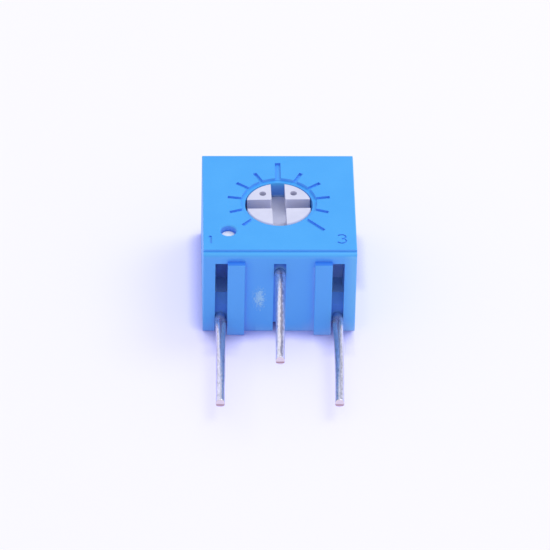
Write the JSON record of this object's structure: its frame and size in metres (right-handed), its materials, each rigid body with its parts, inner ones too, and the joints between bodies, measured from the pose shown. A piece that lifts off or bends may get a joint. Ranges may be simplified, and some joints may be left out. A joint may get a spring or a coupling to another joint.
{
  "type": "trimmer potentiometer",
  "caption": "Small square single-turn trimmer potentiometer with a slotted rotor in a marked dial and wire terminals leaving one side.",
  "frame": {"origin": "on the rotor's axis, in the plane of the housing's foot (its sealed back)", "axes": "+X from terminal 1 to terminal 3, +Y away from the terminals, +Z out of the dial face"},
  "size_m": [0.0066, 0.0125, 0.0044],
  "materials": {
    "blue_moulding": "satin thermoplastic",
    "white_rotor": "smooth nylon",
    "red_rubber": "silicone",
    "spring_metal": "rolled",
    "white_ceramic": "fired alumina",
    "black_cermet": "printed and fired",
    "silver_film": "printed and fired",
    "tinned_wire": "hot tinned copper",
    "solder": "solder",
    "blue_resin": "cured epoxy",
    "white_resin": "cured sealing resin"
  },
  "bodies": {
    "body": {"housing": "blue_moulding", "ceramic_plate": "white_ceramic", "resistive_track": "black_cermet", "end_film_1": "silver_film", "end_film_3": "silver_film", "collector_film": "silver_film", "terminal_1": "tinned_wire", "terminal_2": "tinned_wire", "terminal_3": "tinned_wire", "solder_1": "solder", "solder_2": "solder", "solder_3": "solder", "potting": "blue_resin", "vent_plug": "white_resin"},
    "rotor": {"rotor": "white_rotor", "o_ring": "red_rubber", "wiper": "spring_metal"}
  },
  "joints": [
    {"name": "rotor_turn", "type": "hinge", "parent": "body", "child": "rotor", "pos_m": [0, 0, 0.00322], "axis": [0, 0, 1], "range_deg": [-136.2, 133.8]}
  ]
}
